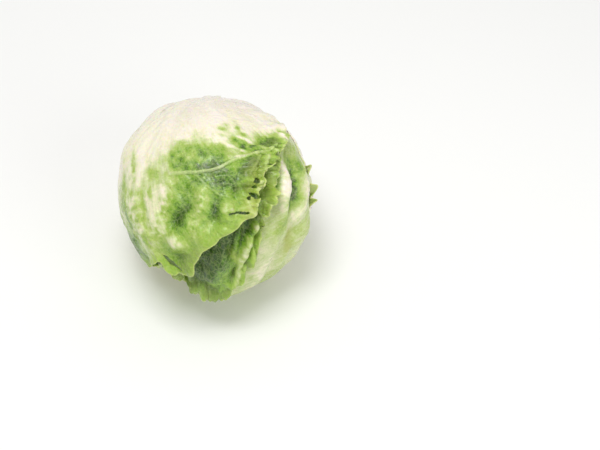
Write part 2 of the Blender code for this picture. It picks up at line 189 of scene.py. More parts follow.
BACK_BLADE = [
    (-180, 95), (-165, 97), (-150, 99), (-136, 108), (-120, 121), (-104, 129), (-92, 126),
    (-80, 106), (-66, 84), (-50, 75), (-25, 71), (0, 70), (25, 72), (50, 78), (68, 85),
    (84, 102), (98, 122), (112, 129), (124, 124), (138, 108), (151, 99), (165, 97),
]
TEETH = ((23, 1.3), (47, 1.3), (89, 0.9))  # points round the blade, height in mm
TEETH_START = (0.4, 0.9)  # radians from the middle of a leaf's foot to where its teeth are whole
TEAR_SIZE = 8  # mm along a crumpled margin
TEAR_DEPTH = 2.5
MARGIN_PACE = 1.7  # mm of margin for each degree, near enough
TIP_SHAPE = 1.4  # above 1, the sides of a long tooth are hollow
HILL_TABLE = 128  # random heights each way, after which the hills repeat
HILL_SHIFT = 1000.5  # keeps places positive
ROW_SPREAD = 0.85  # below 1, the sheet's rows lie closer near the margin
STEM_NECK_RADIUS = 17.2 * MM
FOOT_CLEARANCE = 0.5 * MM
CLASP_ANGLES = (math.radians(20), math.radians(46))  # off the middle of the foot
PLAIN_SHARE = 0.975  # how much of a plain blade is measured, so that no ray misses its edge


def outline_reach(bearing, outline):
    """How far the blade reaches at each bearing, by a smooth closed curve through the points."""
    angles = np.radians([angle for angle, reach in outline])
    reaches = np.array([reach for angle, reach in outline]) * MM
    at = np.searchsorted(angles, bearing, side="right")
    left, right_ = (at - 1) % len(outline), at % len(outline)
    span = (angles[right_] - angles[left]) % (2 * math.pi)
    t = smooth(((bearing - angles[left]) % (2 * math.pi)) / span, 0, 1)
    return reaches[left] * (1 - t) + reaches[right_] * t


def hills(x, y, size, seed):
    """Soft random hills about this far apart, from -1 to 1."""
    heights = np.random.default_rng(seed).uniform(-1, 1, (HILL_TABLE, HILL_TABLE))
    u, v = x / size + HILL_SHIFT, y / size + HILL_SHIFT
    i, j = np.floor(u).astype(int), np.floor(v).astype(int)
    p, q = smooth(u - i, 0, 1), smooth(v - j, 0, 1)
    i, j = i % (HILL_TABLE - 1), j % (HILL_TABLE - 1)
    low = heights[i, j] * (1 - p) + heights[i + 1, j] * p
    high = heights[i, j + 1] * (1 - p) + heights[i + 1, j + 1] * p
    return low * (1 - q) + high * q


def degrees_off(bearing, middle):
    return (np.degrees(bearing) - middle + 180) % 360 - 180


def near_edge(edge, reach):
    """1 at the margin, and 0 from the reach inwards."""
    return smooth(reach - edge, 0, reach)


def windows(bearing, stretches):
    """Adds up soft stretches of margin, each a middle and half width in degrees and a strength."""
    total = np.zeros_like(bearing)
    for middle, half_width, strength in stretches:
        total += strength * np.exp(-((degrees_off(bearing, middle) / half_width) ** 4))
    return total


def long_points(bearing, leaf):
    """Single long teeth, each a middle and half width in degrees and a height in mm."""
    height = np.zeros_like(bearing)
    for middle, half_width, tip in leaf.get("points", []):
        away = np.abs(degrees_off(bearing, middle))
        height = np.maximum(height, tip * MM * np.clip(1 - away / half_width, 0, 1) ** TIP_SHAPE)
    return height


def leaf_teeth(bearing, leaf):
    """Pointed teeth of uneven size all round but at the leaf's foot and where the edge is whole."""
    waves = random.Random(100 + leaf["seed"])
    teeth = np.zeros_like(bearing)
    for points, height in TEETH:
        phase = waves.uniform(0, 2 * math.pi)
        pace = sum(waves.uniform(0.3, 0.8) * np.sin(n * bearing + n * phase) for n in (3, 5, 8))
        size = 0.6 + 0.4 * np.sin(waves.randint(6, 11) * bearing + phase)
        bays = np.abs(np.sin(points / 2 * bearing + phase + pace))
        teeth += height * MM * size * (0.5 - bays)
    strength = np.clip(leaf["teeth"] + windows(bearing, leaf.get("ragged", [])), 0, None)
    along = np.degrees(bearing) * MARGIN_PACE / TEAR_SIZE
    tears = hills(along, 0 * along, 1, leaf["seed"] + 70) * TEAR_DEPTH * MM
    tears *= np.clip(windows(bearing, leaf.get("crumples", [])), 0, 1)
    return (strength * teeth + tears) * smooth(math.pi - np.abs(bearing), *TEETH_START)


def flat_sheet(cells):
    """A square sheet of cells by cells quads, its places from -1 to 1 by row, and their order."""
    bm = bmesh.new()
    bmesh.ops.create_grid(bm, x_segments=cells, y_segments=cells, size=1)
    flat = np.array([v.co[:2] for v in bm.verts])
    step = np.round((flat + 1) * cells / 2).astype(int)
    order = np.lexsort((step[:, 0], step[:, 1]))
    return bm, flat[order].reshape(cells + 1, cells + 1, 2), order


def clasped(bearing, reach):
    """Lets the foot of a leaf reach to the stem and a little way round it."""
    off_foot = math.pi - np.abs(bearing)
    to_stem = LEAF_MIDDLE + BASE_ANGLE * LEAF_RADIUS
    beside = to_stem * np.sin(off_foot)
    gap = np.sqrt(np.clip((STEM_NECK_RADIUS + FOOT_CLEARANCE) ** 2 - beside**2, 0, None))
    clasp = 1 - smooth(off_foot, *CLASP_ANGLES)
    return reach + clasp * (to_stem * np.cos(off_foot) - gap - reach)


def leaf_plan(places, leaf):
    """Spreads the square sheet over the blade.

    Gives x, y, bearing, the way left to the edge, and x and y once more held a little inside the
    outline of the plain leaf, for the rays that measure it.
    """
    u, v = places[..., 0], places[..., 1]
    disc_x = u * np.sqrt(1 - v * v / 2)
    disc_y = v * np.sqrt(1 - u * u / 2)
    share = np.hypot(disc_x, disc_y) ** ROW_SPREAD
    bearing = np.arctan2(disc_x, disc_y)
    plain = outline_reach(bearing, leaf["outline"])
    reach = clasped(bearing, plain + leaf_teeth(bearing, leaf) + long_points(bearing, leaf))
    way = share * reach
    inside = np.minimum(way, PLAIN_SHARE * plain)
    x, y = way * np.sin(bearing), LEAF_MIDDLE + way * np.cos(bearing)
    within = inside * np.sin(bearing), LEAF_MIDDLE + inside * np.cos(bearing)
    return x, y, bearing, reach - way, within


outlines = (ROUND_BLADE, SIDE_BLADE, FRONT_BLADE, TONGUE_BLADE, BACK_BLADE)
print("blade outlines with", [len(outline) for outline in outlines], "points")

# %% [markdown]
# ## Ribs, puckers and creases
#
# The blade of a lettuce leaf grows faster than its ribs, so it buckles between them. A texture
# could fake that, but the light on this leaf comes from real bumps a few millimetres high, so
# they are made in the mesh. Three kinds of bump are mixed: random hills, long folds placed one
# by one, and lines for the veins.
#
# The ribs fan out from the foot, close together and nearly parallel at first. A strand number
# says which rib a point lies on, so that a pattern drawn along it follows the fan.

# %% Shapes that the relief is made of
FAN_START = 0.35  # how wide the fan is at the foot, against 1 at 100 mm
FAN_LENGTH = 100 * MM


def mound(x, y, shape):
    """A long soft mound: middle x and y, bearing, half length, half width and height."""
    middle_x, middle_y, bearing, half_length, half_width, height = shape
    turn = math.radians(bearing)
    dx, dy = x - middle_x * MM, y - middle_y * MM
    along = dx * math.sin(turn) + dy * math.cos(turn)
    across = dx * math.cos(turn) - dy * math.sin(turn)
    return height * np.exp(
        -((along / (half_length * MM)) ** 2) - (across / (half_width * MM)) ** 2
    )


def tapered_line(x, y, points, half_width, taper):
    """A soft line through (x, y) points in mm, 1 at its middle, that narrows and fades."""
    nearest = np.full_like(x, 1.0)
    progress = np.zeros_like(x)
    for number, (start, end) in enumerate(zip(points, points[1:])):
        start, end = np.array(start) * MM, np.array(end) * MM
        way = end - start
        t = np.clip(((x - start[0]) * way[0] + (y - start[1]) * way[1]) / (way @ way), 0, 1)
        away = np.hypot(x - start[0] - t * way[0], y - start[1] - t * way[1])
        progress = np.where(away < nearest, (number + t) / (len(points) - 1), progress)
        nearest = np.minimum(nearest, away)
    left = 1 - taper * progress
    return left * np.exp(-((nearest / (half_width * MM * left)) ** 2))


def strands(x, y, leaf):
    """Which rib of the fan each place lies on, as its distance across the fan at 100 mm."""
    fan = FAN_START + (1 - FAN_START) * (np.maximum(y, 0) / FAN_LENGTH) ** 1.5
    return (x - leaf["midrib"] * MM) / fan


# %% [markdown]
# ## The leaves, one by one
#
# Here is what makes each leaf itself. Swells are soft bumps and hollows, lines are raised veins,
# patches make the blade greener or paler, bruises make it yellow, and holes are tears. Some of
# them are the leaf's own colour; many are painted shade and painted highlights, greener in the
# hollows, in the troughs and under overhanging margins and paler on the crests of swells.
# Ragged says where the teeth are longer or missing, crumples where the margin is frilled most,
# tight where it hugs what is under it, and points are single long teeth that curl out. Teeth,
# frill, puckers and veins say how strong those are. Green is how green the blade gets, and
# green_from where that starts.
#
# Places are in millimetres on the flat leaf.

# %% What is on each leaf
LEAVES = [
    {"name": "wrapper_leaf_8", "azimuth": 60, "cells": 90, "outline": ROUND_BLADE, "seed": 8,
     "teeth": 0.6, "midrib": 0, "green": 0.25, "green_from": [(0, 70)]},
    {"name": "wrapper_leaf_7", "azimuth": -77.5, "cells": 90, "outline": ROUND_BLADE, "seed": 7,
     "teeth": 0.6, "midrib": 0, "green": 0.25, "green_from": [(0, 70)]},
    {"name": "wrapper_leaf_6", "azimuth": 145, "cells": 100, "outline": ROUND_BLADE, "seed": 6,
     "teeth": 0.6, "midrib": 0, "green": 0.3, "green_from": [(0, 65)]},
    {"name": "wrapper_leaf_5", "azimuth": -130, "cells": 130, "outline": ROUND_BLADE, "seed": 5,
     "teeth": 0.8, "midrib": 0, "green": 0.45, "green_from": [(0, 60)], "frill": 0.6},
    {"name": "wrapper_leaf_4", "azimuth": 92.5, "cells": 180, "outline": SIDE_BLADE, "seed": 4,
     "teeth": 0.6, "midrib": 0, "green": 0.36, "green_from": [(0, 62)], "frill": 0.8, "veins": 0.5,
     "swells": [(-53, 112, 10, 20, 4.5, 5.0), (-45, 134, 35, 12, 5, 4.0), (-41, 111, 10, 18, 5, -5.5),
         (-28, 110, 2, 27, 4.5, 2.5), (-10, 132, 15, 17, 9, 3.5), (-21, 144, 40, 14, 6, -3.0),
         (-30, 158, 65, 16, 5, 3.0), (-12, 166, 55, 22, 4, -3.0), (4, 178, 60, 24, 5, 3.0),
         (2, 162, 50, 18, 4, 2.5), (16, 178, 75, 16, 4, -2.5)],
     # Several of these are partly the leaf's own colour and partly painted shade and highlight: the
     # hollows at (-41, 111) and (-21, 144) are painted deeper green and the ridges at (-53, 112) and
     # (-27, 110) paler.
     "tint_and_painted_light": [(-41, 111, 10, 20, 5.5, 0.8), (-53, 112, 10, 21, 4.5, -0.5),
         (-61, 110, 12, 14, 3, 0.35), (-27, 110, 2, 28, 4.5, -0.25), (-40, 142, 15, 14, 6, 0.1),
         (-33, 90, 0, 8, 4, 0.3), (-21, 144, 40, 12, 5, 0.2), (0, 180, 60, 34, 14, -0.2),
         (-33, 132, 30, 12, 6, -0.3), (-22, 142, 20, 30, 14, 0.03)],
     "bruises": [(-22, 146, 50, 9, 4, 0.8), (-10, 152, 60, 6, 4, 0.6)]},
    {"name": "wrapper_leaf_3", "azimuth": 7.5, "cells": 176, "outline": TONGUE_BLADE, "seed": 3,
     "teeth": 0.7, "midrib": 0, "green": 0.87, "green_from": [(0, 72)], "frill": 1.2, "veins": 0.2,
     "puckers": 1.9,
     "swells": [(26, 144, -20, 16, 2.6, 5.0), (18, 164, -18, 18, 3, 4.5), (12, 148, -12, 20, 6, -3.0),
         (26, 152, -12, 14, 3, -2.5), (-10, 161, -70, 16, 8, -5.0), (-6, 186, 0, 16, 9, 3.0),
         (39, 122, -5, 14, 2.5, 4.5), (31, 122, -5, 15, 3.5, -4.0), (4, 167, -5, 8, 3.5, -3.5),
         (10, 156, -14, 16, 2.6, 3.5), (-3, 166, 0, 13, 5, 2.5), (20, 180, -25, 14, 3, 3.0),
         (9, 186, -20, 12, 3, -2.5), (-16, 188, 20, 12, 4, 2.5), (-24, 178, 40, 12, 6, -4.5),
         (-54, 175, -50, 13, 6, -4.0)],
     "crumples": [(0, 26, 0.9), (45, 30, 1.2), (-30, 16, 0.7)],
     # Most of these are painted light and shade: the crests of swells are painted paler, the hollows
     # deeper green, and the blade under leaf 2's margin at (-10, 161) and under its slit at (-54, 175)
     # darkest green.
     "tint_and_painted_light": [(26, 144, -20, 16, 2.6, -0.4), (18, 164, -18, 18, 3, -0.35),
         (14, 176, 20, 10, 4, -0.2), (-10, 161, -60, 18, 9, 0.3), (12, 146, -15, 18, 6, 0.3),
         (26, 152, -12, 12, 3, 0.25), (-4, 186, 20, 12, 6, -0.12), (10, 192, -10, 16, 3, -0.25),
         (-16, 196, 60, 12, 5, -0.2), (10, 156, -14, 16, 2.4, -0.35), (20, 180, -25, 14, 2.6, -0.3),
         (9, 186, -20, 12, 2.5, 0.25), (-3, 166, 0, 9, 3.5, -0.15), (-24, 182, 40, 14, 8, 0.3),
         (39, 122, -5, 13, 2.5, -0.35), (32, 126, -5, 17, 5, 0.4), (-54, 175, -50, 14, 7, 0.3)],
     "bruises": [(8, 172, 20, 8, 4, 0.35), (38, 120, 0, 12, 3, 0.4)],
     "lines": [([(22, 160), (12, 185), (8, 205)], 1.0, 0.4)]},
    {"name": "wrapper_leaf_2", "azimuth": -45, "cells": 218, "outline": FRONT_BLADE, "seed": 2,
     "teeth": 0.5, "midrib": 22, "green": 0.74, "veins": 0.3, "frill": 1.0,
     "green_from": [(-110, 92), (-60, 100), (-35, 104), (-15, 104), (8, 104), (22, 100), (36, 88),
         (52, 80), (72, 82), (88, 84), (100, 76), (125, 58)],
     "swells": [(16, 148, 30, 11, 6, 5.0), (37, 148, -30, 9, 5, 4.0), (9, 127, 10, 9, 7, 3.0),
         (48, 126, -20, 11, 4.5, 4.5), (63, 136, -30, 8, 4.5, 4.5), (64, 93, 60, 10, 7, 2.2),
         (27, 132, -66, 17, 4.5, -4.0), (53, 143, -45, 8, 3.5, -2.0), (57, 132, -30, 10, 3.5, -3.0),
         (1, 116, -12, 14, 4, -2.0), (22, 113, -20, 12, 6, 1.6), (75, 126, -15, 10, 5, -2.0),
         (86, 108, -25, 24, 4.5, 3.0), (78, 140, -40, 16, 4, 2.4), (-10, 138, -20, 16, 7, 2.0),
         (-24, 128, -15, 14, 5, -1.8), (4, 158, 70, 14, 4, -1.5), (98, 78, -70, 10, 4, -2.0),
         (38, 159, -66, 36, 6, 4.0), (-9, 164, 29, 9, 4, 3.5)],
     # Many of these are painted light and shade: the crests of the swells are painted pale, as a
     # sheen, and the troughs between them deeper green; the others are the leaf's own streaks and
     # tints.
     "tint_and_painted_light": [(70, 66, 60, 5, 2, 0.4), (80, 63, 20, 7, 1.8, 0.35), (74, 74, 70, 9, 1.6, 0.3),
         (-2, 84, 0, 16, 2.5, 0.3), (-16, 92, -6, 20, 3, 0.25), (12, 92, 3, 12, 2.5, 0.2),
         (90, 82, -75, 9, 2.5, 0.55), (98, 79, 20, 9, 6, 0.25), (108, 70, 14, 9, 5, 0.3),
         (16, 148, 30, 13, 8, -0.42), (37, 144, -30, 14, 9, -0.42), (9, 127, 10, 13, 9, -0.26),
         (49, 125, -20, 11, 6, -0.42), (63, 136, -30, 8, 5.5, -0.4), (60, 94, 70, 14, 8, 0.12),
         (22, 135, -66, 20, 4.5, 0.2), (57, 132, -30, 10, 4.5, 0.2), (1, 115, -12, 12, 3.5, 0.22),
         (14, 108, 0, 10, 9, -0.22), (84, 94, -75, 12, 2, -0.3), (90, 77, 62, 13, 1.6, -0.5),
         (82, 86, 62, 12, 1.5, -0.45), (-16, 130, 0, 30, 20, -0.33), (0, 104, 0, 14, 12, -0.14),
         (54, 100, 70, 16, 6, 0.15), (-20, 112, 0, 16, 4, 0.3), (22, 160, -62, 32, 9, 0.1),
         (21, 116, -40, 14, 8, -0.34), (52, 113, 78, 16, 6, 0.2), (62, 149, -66, 30, 6, -0.2),
         (100, 102, -22, 24, 5, -0.2), (88, 108, -20, 10, 5, 0.2), (84, 132, -42, 20, 5, -0.24),
         (94, 96, -30, 7, 3, -0.2), (-45, 95, -8, 60, 22, 0.02), (-4, 90, 0, 18, 9, 0.2),
         (-26, 98, 0, 22, 12, 0.16), (-8, 120, 0, 20, 14, -0.18), (28, 86, 0, 7, 12, 0.2),
         (40, 76, 60, 14, 4, 0.14), (66, 112, -50, 14, 8, 0.1)],
     "bruises": [(88, 118, -20, 28, 6, 0.4), (78, 142, -40, 18, 5, 0.45), (30, 162, 80, 12, 4, 0.3)],
     "lines": [([(30, 99), (52, 103.6), (62, 104.3), (68, 103.2), (76, 98.5), (88.6, 93.4),
         (95.4, 90.3), (105, 87.7), (112, 76.5)], 0.8, 1.2),
         ([(48, 103), (55, 116), (63, 126)], 0.9, 0.4),
         ([(104, 92), (98, 108), (94, 121), (86, 135), (76, 147)], 1.0, 0.9),
         ([(98, 92), (92, 103), (86, 112)], 0.8, 0.5),
         ([(106, 84), (112, 92), (110, 104)], 0.8, 0.7),
         ([(30, 110), (34, 124), (42, 140), (44, 158)], 1.1, 0.2)],
     "holes": [(89, 118, -10, 2.2, 1.5), (87.6, 123, 10, 1.4, 1.0), (84, 130.5, 40, 3.2, 1.5),
         (80, 132, 30, 1.2, 0.8), (69, 141.5, 78, 6.5, 0.6), (109, 99, 0, 1.6, 1.0),
         (103, 103, 20, 1.2, 0.9), (102, 111, 20, 1.3, 0.8), (90, 136, 20, 2.0, 0.9),
         (84, 146, 10, 2.2, 0.8), (110, 91, 40, 1.5, 0.8), (-2, 161, 28, 9.0, 1.3)],
     "ragged": [(24, 26, -0.4), (80, 32, 0.3)], "crumples": [(24, 24, -0.7), (84, 30, 1.3)],
     "tight": [(-36, 14, 5)]},
    {"name": "wrapper_leaf_1", "azimuth": 177.5, "cells": 170, "outline": BACK_BLADE, "seed": 1,
     "teeth": 0.9, "midrib": 0, "green": 0.22, "green_from": [(0, 70)], "frill": 0.3,
     "tight": [(-97, 36, 8), (60, 60, 3)],
     "points": [(-94, 4.6, 11), (-85.5, 3.4, 9.5), (-80.5, 3.0, 8)],
     # Painted light: this patch makes the blade paler where its long teeth stand in shade.
     "tint_and_painted_light": [(-95, 90, 0, 30, 16, -0.1)]},
]
for leaf in LEAVES:
    swells, quads = len(leaf.get("swells", [])), 2 * leaf["cells"] ** 2
    print(leaf["name"], "has", swells, "swells and", quads, "quads")

# %% [markdown]
# ## Finding the plain leaf
#
# A ray from the middle of the head meets the inner face of the plain leaf first, and its length
# is the radius that the fine leaf starts from. The plain leaf has flat facets 8 mm across, which
# a few rounds of averaging with the neighbours take away.

# %% Measure the plain leaf and take away its facets
FACET_TURNS = 14


def mesh_tree(mesh):
    bm = bmesh.new()
    bm.from_mesh(mesh)
    tree = BVHTree.FromBMesh(bm)
    bm.free()
    return tree


def neighbours_mean(grid):
    wide = np.pad(grid, 1, mode="edge")
    rows = wide[:-2] + wide[1:-1] + wide[2:]
    return (rows[:, :-2] + rows[:, 1:-1] + rows[:, 2:]) / 9


def filled(grid):
    """Gives places that no ray met the mean of those next to them."""
    while np.isnan(grid).any():
        known = np.where(np.isnan(grid), 0.0, 1.0)
        total, count = neighbours_mean(np.nan_to_num(grid)), neighbours_mean(known)
        near = np.where(count > 0, total / np.maximum(count, 1e-9), np.nan)
        grid = np.where(np.isnan(grid), near, grid)
    return grid


def inner_radii(tree, directions):
    radii = np.full(directions.shape[:2], np.nan)
    for at, direction in np.ndenumerate(np.empty(radii.shape)):
        hit = tree.ray_cast(MIDDLE, Vector(directions[at] @ AXES.T), FAR)[0]
        if hit:
            radii[at] = (hit - MIDDLE).length
    return filled(radii)


def outer_radii(trees, directions):
    """How far out the pieces already made reach along each direction."""
    radii = np.zeros(directions.shape[:2])
    towards = directions @ AXES.T
    for at in np.ndindex(radii.shape):
        away = Vector(towards[at])
        start = MIDDLE + away * FAR
        for tree in trees:
            hit = tree.ray_cast(start, -away, FAR)[0]
            if hit:
                radii[at] = max(radii[at], (hit - MIDDLE).length)
    return radii


# %% [markdown]
# ## The relief of one leaf
#
# This adds up everything that lifts the blade off the leaf under it: the swells, puckers between
# the ribs, fine wrinkles, raised veins, and the frilled and crinkled margin. It all fades out
# where the head lies, because the leaves are pressed flat there.

# %% Relief, margin and thickness
BLADE_THICKNESS = 0.8 * MM
RIB_THICKNESS = 4.6 * MM
RIB_HALF_WIDTH = 21 * MM
RIB_FADES = (20 * MM, 112 * MM)
RIB_NARROWEST = 0.45
VEIN_THICKNESS = 0.3  # as a share of the rib's
FOOT_THINS = (-8 * MM, 18 * MM)  # where the rib thins again to clasp the stem
PUCKERS = ((1.1, 13 * MM), (0.7, 7 * MM))  # height in mm, and how far apart
WRINKLES = (0.3, 3.2 * MM)
RIBBING = (0.25, 5 * MM)
SMOOTHEST = 0.15  # how much of its puckers the cream part of a leaf keeps
FRILLS = ((23, 1.5, 18), (12.5, 1.2, 12), (7, 0.4, 8))  # wavelength, height, reach in mm
FRILL_START = (0.5, 1.0)  # radians from the middle of the foot
FRILL_RADIUS = 100  # mm, about as far as a margin is from the middle of its blade
SIDE_RIBS = 9
RIBS_START, RIB_GAP, RIB_STRAY = 16, 9.5, 4  # mm up the midrib
RIB_LEAN, LEAN_LOSS, LEAN_STRAY = 64, 4.5, 7  # degrees off the midrib, less for each rib further up
RIB_STEPS, FORK_STEPS = 11, 4
RIB_BEND, FORK_BEND = 0.05, 0.1  # back towards the midrib, and towards the rib
FORK_TURN = (0.5, 0.9)  # radians
RIB_LINE, FORK_LINE = (1.5, 1.0), (0.9, 0.6)  # half width in mm, and strength
VEIN_STEP = 10  # mm
VEIN_WAVER = 0.12
VEIN_TAPER, LINE_TAPER = 0.55, 0.2
VEIN_HEIGHT = 0.8 * MM
MIDRIB_HEIGHT = 1.6 * MM
MIDRIB_HALF_WIDTH = 9 * MM
MIDRIB_FADES = (35 * MM, 105 * MM)
CREASES = ((13, 2.0), (6, 1.3), (3, 0.4))  # how far apart, and height in mm
CREASE_REACH = 30 * MM
TIGHT_REACH = 25 * MM
CURL_REACH = 9 * MM  # how far in from its tip a long tooth is bent away from the head
REST_TIGHT = math.radians(16)
REST_LOOSE = math.radians(42)


def margin_frill(bearing, edge, leaf):
    """The waved free edge, in metres, strongest where the leaf is crumpled."""
    along = bearing * FRILL_RADIUS * MM
    strength = leaf.get("frill", 0.3) + windows(bearing, leaf.get("crumples", []))
    strength = np.clip(strength, 0, None)
    frill = np.zeros_like(bearing)
    for number, (length, height, reach) in enumerate(FRILLS):
        wander = hills(along, edge, 1.6 * length * MM, leaf["seed"] + number) * 4
        uneven = 0.6 + 0.4 * hills(along, 0 * edge, 3 * length * MM, leaf["seed"] + number + 20)
        wave = uneven * (0.5 + 0.5 * np.sin(2 * math.pi * along / (length * MM) + wander))
        frill += height * MM * wave * near_edge(edge, reach * MM)
    return frill * strength * smooth(math.pi - np.abs(bearing), *FRILL_START)


def crinkles(x, y, bearing, edge, leaf):
    """Sharp ridges and soft hollows between them, in mm, where the margin is crumpled."""
    crumpled = np.clip(windows(bearing, leaf.get("crumples", [])), 0, 1.5)
    height = sum(
        high * (0.6 - 2 * np.abs(hills(x, y, length * MM, 10 * leaf["seed"] + number + 5)))
        for number, (length, high) in enumerate(CREASES)
    )
    return crumpled * height * near_edge(edge, CREASE_REACH)


def leaf_relief(x, y, bearing, edge, green, lines, leaf):
    """How far each place stands off the plain leaf, in metres."""
    relief = np.zeros_like(x)
    for swell in leaf.get("swells", []):
        relief += mound(x, y, (*swell[:5], swell[5] * MM))
    strand = strands(x, y, leaf)
    seed = 10 * leaf["seed"]
    coarse, fine = PUCKERS
    puckers = coarse[0] * hills(strand, y, coarse[1], seed) + fine[0] * hills(x, y, fine[1], seed + 1)
    puckers *= leaf.get("puckers", 1.0)
    wrinkles = WRINKLES[0] * hills(x, y, WRINKLES[1], seed + 2)
    ribs = RIBBING[0] * hills(strand, y / 6, RIBBING[1], seed + 3)
    on_green = SMOOTHEST + (1 - SMOOTHEST) * green
    relief += (puckers + wrinkles) * MM * on_green + ribs * MM * (1 - green)
    relief += VEIN_HEIGHT * lines
    midrib = np.exp(-((strand / MIDRIB_HALF_WIDTH) ** 2)) * (1 - smooth(y, *MIDRIB_FADES))
    relief += MIDRIB_HEIGHT * midrib * smooth(y, *FOOT_THINS)
    relief += crinkles(x, y, bearing, edge, leaf) * MM
    tight = windows(bearing, leaf.get("tight", [])) * MM
    relief -= tight * near_edge(edge, TIGHT_REACH)
    relief += long_points(bearing, leaf) * near_edge(edge, CURL_REACH)
    return relief + margin_frill(bearing, edge, leaf)


def rib_share(x, y, lines, leaf):
    """How thick the blade is, from 0 at a plain blade to 1 at the thickest rib."""
    fade = 1 - smooth(y, *RIB_FADES)
    width = RIB_HALF_WIDTH * (RIB_NARROWEST + (1 - RIB_NARROWEST) * fade)
    rib = fade * np.exp(-((x / width) ** 2)) * smooth(y, *FOOT_THINS)
    return np.clip(rib + VEIN_THICKNESS * lines, 0, 1)


def vein_walk(start, heading, turn, steps, grow):
    """Points of one vein, in mm, that bends by the turn at each step and wavers a little."""
    points = [start]
    for step in range(steps):
        heading += turn + grow.uniform(-VEIN_WAVER, VEIN_WAVER)
        x, y = points[-1]
        points.append((x + VEIN_STEP * math.sin(heading), y + VEIN_STEP * math.cos(heading)))
    return points


def grown_veins(leaf):
    """The midrib's side ribs and their forks, each with its half width in mm and its strength."""
    grow = random.Random(200 + leaf["seed"])
    veins = []
    for number in range(SIDE_RIBS):
        for hand in (-1, 1):
            up_midrib = RIBS_START + RIB_GAP * number + grow.uniform(-RIB_STRAY, RIB_STRAY)
            foot = (leaf["midrib"] + 2 * hand, up_midrib)
            lean = RIB_LEAN - LEAN_LOSS * number + grow.uniform(-LEAN_STRAY, LEAN_STRAY)
            heading = hand * math.radians(lean)
            steps = RIB_STEPS - number // 2
            points = vein_walk(foot, heading, -RIB_BEND * hand, steps, grow)
            veins.append((points, *RIB_LINE))
            for place in range(2, steps - 1, 2):
                turn = grow.choice((-1, 1)) * grow.uniform(*FORK_TURN)
                fork = vein_walk(points[place], heading + turn, -FORK_BEND * turn, FORK_STEPS, grow)
                veins.append((fork, *FORK_LINE))
    return veins


def vein_lines(x, y, leaf):
    """How much of a vein each place is, from 0 to about 1."""
    lines = np.zeros_like(x)
    for points, half_width, height in grown_veins(leaf):
        line = tapered_line(x, y, points, half_width, VEIN_TAPER)
        lines = np.maximum(lines, leaf.get("veins", 0.7) * height * line)
    for points, half_width, height in leaf.get("lines", []):
        lines = np.maximum(lines, height * tapered_line(x, y, points, half_width, LINE_TAPER))
    return lines


# %% [markdown]
# ## The colour plan
#
# Where a leaf is white and where it is green follows how it grew: the base was shut away from
# the light and stays cream, and green runs in streaks between the ribs. The plan is three
# numbers at each point of the blade: how green it is, how much of a vein it is, and how bruised.
# The green number also carries painted shade and painted highlights: hollows, troughs and the
# blade under an overhanging margin are made greener, so darker, and the crests of swells and
# crinkles paler. Random hills of several sizes make the border between cream and green uneven.
# The way to the edge and the place on the flat leaf are stored with the plan, and the material
# draws by them.

# %% Work out green, vein and bruise
GREEN_EDGE = 24 * MM  # how long the change from cream to green is
STREAKS = ((7, 3.5, 5), (4, 9, 8))  # how drawn out, then how far apart and their push, in mm
CLOUDS = ((11, 9), (4, 6))  # how far apart and how far they push the border, in mm
BLOTCHES = (0.18, 14 * MM)  # as a share of the green, and how far apart
CREAM_TINT = 0.18
TINT_SIZE = 16 * MM
TINT_STARTS = (0, 60 * MM)  # up the blade
RIB_PALENESS = 0.14
PATCH_GRAIN = ((0.5, 4 * MM), (0.4, 2 * MM))  # as a share of the patch, and how far apart
PALEST_BLADE = 0.36  # the palest spots of the blade, as a share of its full green
BLADE_STARTS = (90 * MM, 125 * MM)
# Painted light and shade: a crinkle's ridge is drawn paler and its hollow greener, so darker, by its
# height.
CRINKLE_PAINTED_LIGHT = 0.15  # how much paler a crinkle is for each millimetre of its height


def green_with_painted_light(x, y, bearing, edge, lines, leaf):
    """How green each place is, from 0 for cream to 1 for the deepest green, with painted shade and
    highlights.
    """
    xs, ys = zip(*leaf["green_from"])
    start = np.interp(x / MM, xs, ys) * MM
    strand = strands(x, y, leaf)
    seed = leaf["seed"] + 60
    border = np.zeros_like(x)
    for number, (drawn_out, size, push) in enumerate(STREAKS):
        border += hills(strand, y / drawn_out, size * MM, seed + number) * push * MM
    for number, (size, push) in enumerate(CLOUDS):
        border += hills(x, y, size * MM, seed + 6 + number) * push * MM
    green = leaf["green"] * smooth(y + border - start, -GREEN_EDGE, GREEN_EDGE)
    green *= 1 + BLOTCHES[0] * hills(x, y, BLOTCHES[1], seed + 2)
    tint = 0.5 + 0.5 * hills(strand, y / 2, TINT_SIZE, seed + 3)
    green += CREAM_TINT * tint * smooth(y, *TINT_STARTS) - RIB_PALENESS * lines
    grain = np.ones_like(x)
    for number, (share, size) in enumerate(PATCH_GRAIN):
        grain += share * hills(x, y, size, seed + 4 + number)
    # These add the leaf's own tints and also painted shade in hollows and painted highlights on
    # crests.
    for patch in leaf.get("tint_and_painted_light", []):
        green += mound(x, y, patch) * grain
    # Painted light and shade on the crumpled margin: ridges paler, hollows greener and darker.
    green -= CRINKLE_PAINTED_LIGHT * crinkles(x, y, bearing, edge, leaf)
    green = np.maximum(green, PALEST_BLADE * leaf["green"] * smooth(y, *BLADE_STARTS))
    return np.clip(green, 0, 1)


# %% [markdown]
# ## Making a leaf
#
# The steps come together here. Each leaf has to lie over all those inside it, so the leaves are
# made from the innermost outwards, and a leaf that would dip into one below is lifted, along
# with what is round the place, so that no step shows. Then the sheet is given its thickness,
# thin in the blade and thick along the rib.

# %% Lay, lift and thicken one leaf
CLEARANCE = 0.2 * MM
LIFT_TURNS = 10
REST_SNAP = 0.25 * MM
FOOT_TONE = 45 * MM  # how far up from its foot a leaf's edge stays the colour of its blade


def lifted_clear(radii, floor):
    """Lifts the sheet, and softly what is round the place, where it would dip into the floor."""
    need = np.maximum(floor + CLEARANCE - radii, 0)
    lift = need
    for turn in range(LIFT_TURNS):
        lift = np.maximum(neighbours_mean(lift), need)
    return radii + lift


